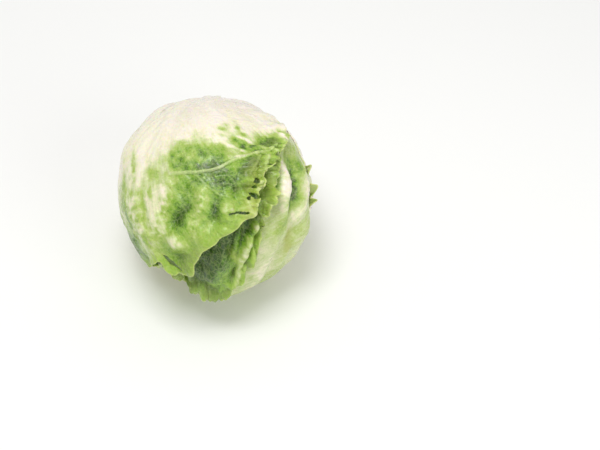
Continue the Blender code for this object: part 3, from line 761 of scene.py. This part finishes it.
def clear_of_stem(directions, radii):
    """Moves a leaf's foot out to the stem's side."""
    offset = radii[..., None] * directions
    from_axis = np.hypot(offset[..., 0], offset[..., 1])
    keep = STEM_NECK_RADIUS + FOOT_CLEARANCE
    push = np.maximum(keep / np.maximum(from_axis, 1e-6), 1)
    push = np.where(directions[..., 2] > 0, push, 1)
    return offset * np.stack((push, push, np.ones_like(push)), axis=-1)


def hole_mask(x, y, leaf):
    torn = np.zeros(x.shape, bool)
    for hole in leaf.get("holes", []):
        torn |= mound(x, y, (*hole, 1.0)) > math.exp(-1)
    return torn


def by_vertex(grid, order):
    """What the sheet's grid holds, in the order of its vertices."""
    listed = np.empty((len(order), *grid.shape[2:]), grid.dtype)
    listed[order] = grid.reshape(listed.shape)
    return listed


def store(mesh, name, values, order):
    """Keeps one number for each vertex under this name, for the material to read."""
    column = by_vertex(values, order).astype(np.float32)
    mesh.attributes.new(name, "FLOAT", "POINT").data.foreach_set("value", column)


def applied(obj):
    """Replaces an object's mesh by the one that its modifiers make."""
    graph = bpy.context.evaluated_depsgraph_get()
    mesh = bpy.data.meshes.new_from_object(
        obj.evaluated_get(graph), preserve_all_data_layers=True, depsgraph=graph
    )
    obj.modifiers.clear()
    obj.vertex_groups.clear()
    obj.data = mesh


def make_leaf(leaf, trees):
    """Makes one fine leaf over the pieces in the search trees, and puts it in place of its node."""
    bm, places, order = flat_sheet(leaf["cells"])
    x, y, bearing, edge, within = leaf_plan(places, leaf)
    directions = leaf_directions(x, y, leaf["azimuth"])
    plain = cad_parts[leaf["name"]].data
    radii = inner_radii(mesh_tree(plain), leaf_directions(*within, leaf["azimuth"]))
    for turn in range(FACET_TURNS):
        radii = neighbours_mean(radii)
    lines = vein_lines(x, y, leaf)
    green = green_with_painted_light(x, y, bearing, edge, lines, leaf)
    from_rest = np.arccos(np.clip(directions @ DOWN, -1, 1))
    loose = smooth(from_rest, REST_TIGHT, REST_LOOSE)
    radii = radii + loose * leaf_relief(x, y, bearing, edge, green, lines, leaf)
    radii = lifted_clear(radii, outer_radii(trees, directions))
    points = np.array(MIDDLE) + clear_of_stem(directions, radii) @ AXES.T
    for vert, point in zip(bm.verts, by_vertex(points, order)):
        vert.co = point
    bm.normal_update()
    bm.faces.ensure_lookup_table()
    middle_face = bm.faces[len(bm.faces) // 2]
    if middle_face.normal.dot(middle_face.calc_center_median() - MIDDLE) < 0:
        bmesh.ops.reverse_faces(bm, faces=bm.faces)
    obj = new_object(leaf["name"] + "_blade", bm)
    bruise = sum((mound(x, y, b) for b in leaf.get("bruises", [])), np.zeros_like(x))
    rib = rib_share(x, y, lines, leaf)
    free_edge = edge + FOOT_TONE * (1 - smooth(y, 0, FOOT_TONE))
    for name, values in (
        ("green", green), ("vein", lines), ("bruise", np.clip(bruise, 0, 1)), ("edge", free_edge),
        ("blade_x", x), ("blade_y", y), ("strand", strands(x, y, leaf)),
    ):
        store(obj.data, name, values, order)
    group = obj.vertex_groups.new(name="rib")
    for index, weight in enumerate(by_vertex(rib, order)):
        group.add([index], weight, "REPLACE")
    bm = bmesh.new()
    bm.from_mesh(obj.data)
    cut_away(bm, by_vertex(hole_mask(x, y, leaf), order))
    bm.to_mesh(obj.data)
    bm.free()
    shell = obj.modifiers.new("thickness", "SOLIDIFY")
    shell.thickness = RIB_THICKNESS
    shell.offset = 1
    shell.vertex_group = group.name
    shell.thickness_vertex_group = BLADE_THICKNESS / RIB_THICKNESS
    applied(obj)
    for vert in obj.data.vertices:
        if vert.co.z < REST_SNAP:
            vert.co.z = 0
    obj.data.shade_smooth()
    obj.data.set_sharp_from_angle(angle=math.radians(60))
    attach(obj, "root")
    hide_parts(leaf["name"])
    return obj


# %% [markdown]
# ## The heart
#
# Nearly all of the heart is hidden, but for slivers between the feet of the leaves. It is a ball
# that is dense enough to ring when tapped. It is measured off the plain heart in the same way as
# the leaves, as a shell with a round mouth where the core goes in.

# %% Make the heart
HEART_SEGMENTS = 150
HEART_RINGS = 84
HEART_SHELL = 3.0 * MM
HEART_MOUTH = STEM_NECK_RADIUS + 0.4 * MM
HEART_PUCKER = 0.35 * MM
HEART_PUCKER_SIZE = 0.12  # radians


def make_heart():
    bm = bmesh.new()
    bmesh.ops.create_uvsphere(bm, u_segments=HEART_SEGMENTS, v_segments=HEART_RINGS, radius=1)
    directions = np.array([v.co for v in bm.verts])
    directions /= np.linalg.norm(directions, axis=1)[:, None]
    tree = mesh_tree(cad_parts["heart"].data)
    radii = outer_radii([tree], directions[:, None])[:, 0]
    polar = np.arccos(np.clip(directions[:, 2], -1, 1))
    azimuth = np.arctan2(directions[:, 1], directions[:, 0])
    radii -= HEART_PUCKER * (1 + hills(azimuth * np.sin(polar), polar, HEART_PUCKER_SIZE, 5))
    points = to_world(directions, radii)
    from_axis = radii * np.sin(polar)
    inside = (from_axis < HEART_MOUTH) & (directions[:, 2] > 0)
    for vert, point in zip(bm.verts, points):
        vert.co = point
    cut_away(bm, inside)
    obj = new_object("heart_leaves", bm)
    shell = obj.modifiers.new("thickness", "SOLIDIFY")
    shell.thickness = HEART_SHELL
    shell.offset = -1
    applied(obj)
    obj.data.shade_smooth()
    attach(obj, "root")
    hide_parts("heart")
    return obj


heart = make_heart()
print("the heart has", len(heart.data.polygons), "faces")

# %% [markdown]
# ## Wrapping the head
#
# The leaves go on from the inside out, each over a search tree of all the pieces below it.

# %% Make all the leaves
trees = [mesh_tree(heart.data)]
blades = []
for leaf in LEAVES:
    blade = make_leaf(leaf, trees)
    blades.append(blade)
    trees.append(mesh_tree(blade.data))
    print(blade.name, "has", sum(len(p.vertices) - 2 for p in blade.data.polygons), "triangles")

# %% [markdown]
# ## The cut stem
#
# The stump is turned: a profile spun round the stem's axis, with its sides left knobbly where
# leaves were broken off, and a face that the knife left nearly flat.

# %% Make the stem
STEM_TURNS = 96
STEM_CUT_RADIUS = 16.0 * MM
STEM_CUT_HEIGHT = 77 * MM  # from the middle of the head, along the stem
STEM_EDGE = 1.2 * MM  # how far below the cut its side begins
STEM_SIDE = 18 * MM
STEM_KNOBS_FROM = 58 * MM
KNOBS = ((0.35, 5, 260), (0.3, 9, -420))  # share, how many round the stem, and their slant
KNOB_HEIGHT = 0.6  # mm
CORE = [(15 * MM, 46 * MM), (10.5 * MM, 27 * MM), (5 * MM, 13 * MM), (0, 8 * MM)]
CUT_WAVE = (0.25 * MM, 5 * MM, 0.2 * MM)  # height, how far apart, and how far the face is let in
FACE_STEPS = 16
SIDE_STEPS = 16


def make_stem():
    face = [(STEM_CUT_RADIUS * i / FACE_STEPS, STEM_CUT_HEIGHT) for i in range(FACE_STEPS)]
    sides = [
        (STEM_CUT_RADIUS + (STEM_NECK_RADIUS - STEM_CUT_RADIUS) * i / SIDE_STEPS,
         STEM_CUT_HEIGHT - STEM_EDGE - STEM_SIDE * i / SIDE_STEPS)
        for i in range(SIDE_STEPS + 1)
    ]
    bm = bmesh.new()
    ring = [bm.verts.new((r, 0, h)) for r, h in face + sides + CORE]
    edges = [bm.edges.new(pair) for pair in zip(ring, ring[1:])]
    bmesh.ops.spin(
        bm, geom=ring + edges, cent=(0, 0, 0), axis=(0, 0, 1), angle=2 * math.pi,
        steps=STEM_TURNS, use_merge=True, use_duplicate=False,
    )
    bmesh.ops.remove_doubles(bm, verts=bm.verts, dist=0.01 * MM)
    wave, wave_size, let_in = CUT_WAVE
    for vert in bm.verts:
        x, y, z = vert.co
        turn, reach = math.atan2(y, x), math.hypot(x, y)
        if z > STEM_CUT_HEIGHT - 0.1 * MM:
            vert.co.z += wave * float(hills(np.array(x), np.array(y), wave_size, 3)) - let_in
        elif z > STEM_KNOBS_FROM:
            scar = sum(share * math.sin(count * turn + slant * z) for share, count, slant in KNOBS)
            bulge = 1 + (scar - 0.5) * KNOB_HEIGHT * MM / reach
            vert.co.x *= bulge
            vert.co.y *= bulge
        vert.co = MIDDLE + Vector(AXES @ np.array(vert.co))
    bmesh.ops.recalc_face_normals(bm, faces=bm.faces)
    obj = new_object("stem_stump", bm)
    obj.data.shade_smooth()
    obj.data.set_sharp_from_angle(angle=math.radians(45))
    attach(obj, "root")
    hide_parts("stem")
    return obj


stem = make_stem()
print("the stem has", len(stem.data.polygons), "faces")

# %% [markdown]
# ## Colours and a way to add nodes
#
# Colours are written as the hex numbers that a paint program shows, and turned into the linear
# numbers that Blender works with. One small function adds any node with its settings and links.

# %% Helpers for the materials


def colour(hex_code):
    parts = [int(hex_code[i : i + 2], 16) / 255 for i in (1, 3, 5)]
    return (*(c / 12.92 if c <= 0.04045 else ((c + 0.055) / 1.055) ** 2.4 for c in parts), 1)


def fill(tree, node, inputs):
    """Sets a node's inputs, each to a plain value or to a socket that it is linked to."""
    for socket, value in inputs.items():
        if isinstance(value, bpy.types.NodeSocket):
            tree.links.new(value, node.inputs[socket])
        else:
            node.inputs[socket].default_value = value


def add(tree, kind, inputs, stops=(), **settings):
    """Adds a node with its inputs, its colour stops and its settings."""
    node = tree.nodes.new(kind)
    for name, value in settings.items():
        setattr(node, name, value)
    fill(tree, node, inputs)
    for number, (position, hex_code) in enumerate(stops):
        points = node.color_ramp.elements
        point = points[number] if number < 2 else points.new(position)
        point.position, point.color = position, colour(hex_code)
    return node


def new_material(name):
    made = bpy.data.materials.new(name)
    made.use_nodes = True
    return made, made.node_tree, made.node_tree.nodes["Principled BSDF"]


def wear(piece, look):
    piece.data.materials.clear()
    piece.data.materials.append(look)


print("cream in linear numbers is", [round(c, 3) for c in colour("#F3ECDA")])

# %% [markdown]
# ## Lettuce blade
#
# A lettuce leaf is a thin wet sponge under a waxy skin: light goes in and comes out softened and
# greener, and the skin adds a soft gloss. The colour goes from cream through yellow-green to deep
# green by the plan stored on the blade, which holds painted shade and highlights as well as the
# leaf's own colour. The net of fine veins has meshes 3 to 4 mm across, and is drawn paler than the
# blade and a little raised. A thin pale line along each free edge is a painted highlight, where
# the edge of the blade catches the light.

# %% Leaf material
FIBRE_WIDTH = 1.6 * MM
FIBRE_STRETCH = 0.12  # below 1, the fibres are drawn out along the leaf
MOTTLE = 6 * MM
WRINKLE = 2.4 * MM
SPECKLE = 1.5 * MM
NOISES = (  # which place it is drawn by, how far apart its spots are, its detail and its roughness
    ("fibres", "fan", FIBRE_WIDTH, 3.0, 0.6), ("mottle", "flat", MOTTLE, 4.0, 0.65),
    ("wrinkles", "flat", WRINKLE, 2.0, 0.5), ("specks", "flat", SPECKLE, 2.0, 0.7),
)
TONES = (("fibres", 0.28), ("specks", 0.42), ("mottle", 0.38))  # how much they change the green
BLADE_COLOURS = (
    (0.04, "#F5EEDC"), (0.2, "#ECE9C4"), (0.36, "#CCD79C"), (0.54, "#A9C05C"),
    (0.75, "#7FA72D"), (0.88, "#58821A"), (1.0, "#365610"),
)
VEIN_NET = 3.6 * MM
NET_BEND = 6 * MM  # how far the mottle pushes the net about
NET_LINE = 0.16  # half the width of a net vein, as a share of a mesh of the net
MARGIN_TONE = 18 * MM  # how far the brighter green of young growth comes in from the edge
# The pale rim is a painted highlight: the thin edge of the blade catching the light.
RIM_HIGHLIGHT_WIDTH = 1.3 * MM
LAYERS = (  # laid over the blade one after another
    ("net", "#CFE08F"), ("vein", "#DDE7AE"), ("bruise", "#AEB454"),
    ("margin", "#A9C252"), ("rim_highlight", "#D8E08E"),
)
SKIN = {
    "IOR": 1.42, "Coat Weight": 0.3, "Coat Roughness": 0.2, "Subsurface Weight": 0.3,
    "Subsurface Radius": (0.6, 1.0, 0.3), "Subsurface Scale": 2.5 * MM,
}


def leaf_material():
    """The blade's look. A mix node's sockets go by number, as several of them share a name."""
    made, tree, shader = new_material("lettuce blade")
    read = {
        name: add(tree, "ShaderNodeAttribute", {}, attribute_name=name).outputs["Fac"]
        for name in ("green", "vein", "bruise", "edge", "blade_x", "blade_y", "strand")
    }
    shorter = add(
        tree, "ShaderNodeMath", {0: read["blade_y"], 1: FIBRE_STRETCH}, operation="MULTIPLY"
    )
    places = {
        name: add(tree, "ShaderNodeCombineXYZ", {"X": across, "Y": along}).outputs[0]
        for name, across, along in (
            ("flat", read["blade_x"], read["blade_y"]), ("fan", read["strand"], shorter.outputs[0])
        )
    }
    noise = {
        name: add(
            tree, "ShaderNodeTexNoise",
            {"Vector": places[place], "Scale": 1 / size, "Detail": detail, "Roughness": rough},
        )
        for name, place, size, detail, rough in NOISES
    }
    tone = read["green"]
    for name, share in TONES:
        part = add(tree, "ShaderNodeMath", {0: noise[name].outputs["Fac"], 1: -0.5}, operation="ADD")
        if name == "specks":
            part = add(
                tree, "ShaderNodeMath", {0: part.outputs[0], 1: read["green"]}, operation="MULTIPLY"
            )
        tone = add(
            tree, "ShaderNodeMath", {0: part.outputs[0], 1: share, 2: tone},
            operation="MULTIPLY_ADD",
        ).outputs[0]
    blade = add(tree, "ShaderNodeValToRGB", {"Fac": tone}, stops=BLADE_COLOURS).outputs["Color"]
    bent = add(
        tree, "ShaderNodeMix", {0: NET_BEND, 4: places["flat"], 5: noise["mottle"].outputs["Color"]},
        data_type="VECTOR",
    )
    net = add(
        tree, "ShaderNodeTexVoronoi", {"Vector": bent.outputs[1], "Scale": 1 / VEIN_NET},
        feature="DISTANCE_TO_EDGE",
    )
    shares = {"vein": read["vein"], "bruise": read["bruise"]}
    for name, distance, width, strength, fade in (
        ("net", net.outputs["Distance"], NET_LINE, 1.0, "SMOOTHSTEP"),
        ("margin", read["edge"], MARGIN_TONE, 0.75, "LINEAR"),
        # Painted highlight: a pale line along the free edge.
        ("rim_highlight", read["edge"], RIM_HIGHLIGHT_WIDTH, 0.6, "LINEAR"),
    ):
        shares[name] = add(
            tree, "ShaderNodeMapRange",
            {"Value": distance, "From Min": 0.0, "From Max": width, "To Min": strength, "To Max": 0.0},
            interpolation_type=fade,
        ).outputs[0]
    for name in ("net", "vein", "margin"):
        shares[name] = add(
            tree, "ShaderNodeMath", {0: shares[name], 1: read["green"]}, operation="MULTIPLY"
        ).outputs[0]
    raised = shares["net"]
    for name, strength in (("net", 0.22), ("vein", 0.8)):
        shares[name] = add(
            tree, "ShaderNodeMath", {0: shares[name], 1: strength}, operation="MULTIPLY"
        ).outputs[0]
    for name, hex_code in LAYERS:
        blade = add(
            tree, "ShaderNodeMix", {0: shares[name], 6: blade, 7: colour(hex_code)}, data_type="RGBA"
        ).outputs[2]
    heights = add(
        tree, "ShaderNodeMath", {0: raised, 1: 0.5, 2: noise["wrinkles"].outputs["Fac"]},
        operation="MULTIPLY_ADD",
    )
    wrinkled = add(
        tree, "ShaderNodeBump",
        {"Height": heights.outputs[0], "Strength": 0.9, "Distance": 0.6 * MM},
    )
    ridged = add(
        tree, "ShaderNodeBump",
        {"Height": noise["fibres"].outputs["Fac"], "Strength": 0.5, "Distance": 0.3 * MM,
         "Normal": wrinkled.outputs["Normal"]},
    )
    gloss = add(
        tree, "ShaderNodeMapRange",
        {"Value": noise["mottle"].outputs["Fac"], "From Min": 0.3, "From Max": 0.7,
         "To Min": 0.22, "To Max": 0.4},
    )
    look = {"Base Color": blade, "Normal": ridged.outputs["Normal"], "Roughness": gloss.outputs[0]}
    fill(tree, shader, {**look, **SKIN})
    return made


blade_look = leaf_material()
for blade in blades:
    wear(blade, blade_look)
print("the leaf material has", len(blade_look.node_tree.nodes), "nodes")

# %% [markdown]
# ## Heart leaves and cut stem
#
# The heart grew in the dark, so it is pale yellow. The stump was cut with a knife: its wet
# pith has dried to cream with rusty rings where the milky sap has turned.

# %% Heart and stem materials
HEART_MOTTLE = 4 * MM
PITH_GRAIN = 3 * MM
RING_WAVER = 4 * MM
RINGS_REACH = 20 * MM  # out from the middle of the cut, where the last colour is
RING_COLOURS = (
    (0.0, "#EFE6CC"), (0.45, "#E9DCBB"), (0.6, "#C99B66"), (0.72, "#E8DDBC"),
    (0.86, "#D9B98A"), (1.0, "#E6E3BE"),
)


def heart_material():
    made, tree, shader = new_material("pale heart leaf")
    place = add(tree, "ShaderNodeTexCoord", {})
    mottle = add(
        tree, "ShaderNodeTexNoise",
        {"Vector": place.outputs["Object"], "Scale": 1 / HEART_MOTTLE, "Detail": 4.0},
    )
    tone = add(
        tree, "ShaderNodeValToRGB", {"Fac": mottle.outputs["Fac"]},
        stops=[(0.3, "#E9EBBE"), (0.7, "#CFDC8E")],
    )
    fill(tree, shader, {"Base Color": tone.outputs["Color"], "Roughness": 0.42, "IOR": SKIN["IOR"]})
    return made


def stem_material():
    made, tree, shader = new_material("cut stem pith")
    place = add(tree, "ShaderNodeTexCoord", {})
    centre = MIDDLE + butt * STEM_CUT_HEIGHT
    turn = Matrix(AXES.T.tolist()).to_euler()
    back = -(Matrix(AXES.T.tolist()) @ centre)
    local = add(
        tree, "ShaderNodeMapping",
        {"Vector": place.outputs["Object"], "Location": back, "Rotation": turn},
    )
    axes = add(tree, "ShaderNodeSeparateXYZ", {0: local.outputs[0]})
    flat = add(tree, "ShaderNodeCombineXYZ", {"X": axes.outputs["X"], "Y": axes.outputs["Y"]})
    reach = add(tree, "ShaderNodeVectorMath", {0: flat.outputs[0]}, operation="LENGTH")
    mottle = add(
        tree, "ShaderNodeTexNoise",
        {"Vector": place.outputs["Object"], "Scale": 1 / PITH_GRAIN, "Detail": 5.0},
    )
    wander = add(
        tree, "ShaderNodeMath", {0: mottle.outputs["Fac"], 1: RING_WAVER, 2: reach.outputs["Value"]},
        operation="MULTIPLY_ADD",
    )
    ring = add(
        tree, "ShaderNodeMath", {0: wander.outputs[0], 1: 1 / RINGS_REACH}, operation="MULTIPLY"
    )
    rust = add(tree, "ShaderNodeValToRGB", {"Fac": ring.outputs[0]}, stops=RING_COLOURS)
    bump = add(
        tree, "ShaderNodeBump",
        {"Height": mottle.outputs["Fac"], "Strength": 0.5, "Distance": 0.4 * MM},
    )
    look = {"Base Color": rust.outputs["Color"], "Normal": bump.outputs["Normal"], "Roughness": 0.5}
    fill(tree, shader, look)
    return made


for piece, look in ((heart, heart_material()), (stem, stem_material())):
    wear(piece, look)
    print(piece.name, "wears", look.name)

# %% [markdown]
# ## Floor and light
#
# The photograph is lit like a packshot: a large soft light overhead and a little to the left, a
# weaker one from the front right, and a floor that is nearly white. The floor is a plain sheet of
# matt white paper that the light falls on evenly, so that only a soft shadow shows under the head.

# %% Set the floor and the lights
FLOOR_SIZE = 3.0
KEY_POWER = 10.5
FILL_POWER = 4.5
WORLD_STRENGTH = 0.55

bm = bmesh.new()
bmesh.ops.create_grid(bm, x_segments=1, y_segments=1, size=FLOOR_SIZE)
floor = new_object("floor", bm)
floor_look, tree, shader = new_material("white paper")
fill(tree, shader, {"Base Color": colour("#F7F7F5"), "Roughness": 0.9})
floor.data.materials.append(floor_look)


def area_light(name, offset, size, power):
    lamp = bpy.data.lights.new(name, "AREA")
    lamp.energy = power
    lamp.size = size
    obj = bpy.data.objects.new(name, lamp)
    obj.location = MIDDLE + Vector(offset)
    obj.rotation_euler = Vector(offset).to_track_quat("Z", "Y").to_euler()
    bpy.context.scene.collection.objects.link(obj)


area_light("key_light", (-0.15, -0.25, 1.35), 0.6, KEY_POWER)
area_light("fill_light", (0.9, -0.9, 0.8), 0.9, FILL_POWER)
world = bpy.data.worlds.new("studio")
world.use_nodes = True
sky = {"Color": colour("#FFFFFF"), "Strength": WORLD_STRENGTH}
fill(world.node_tree, world.node_tree.nodes["Background"], sky)
bpy.context.scene.world = world
bpy.context.scene.view_settings.view_transform = "Standard"
print("the floor is", 2 * FLOOR_SIZE, "m across")
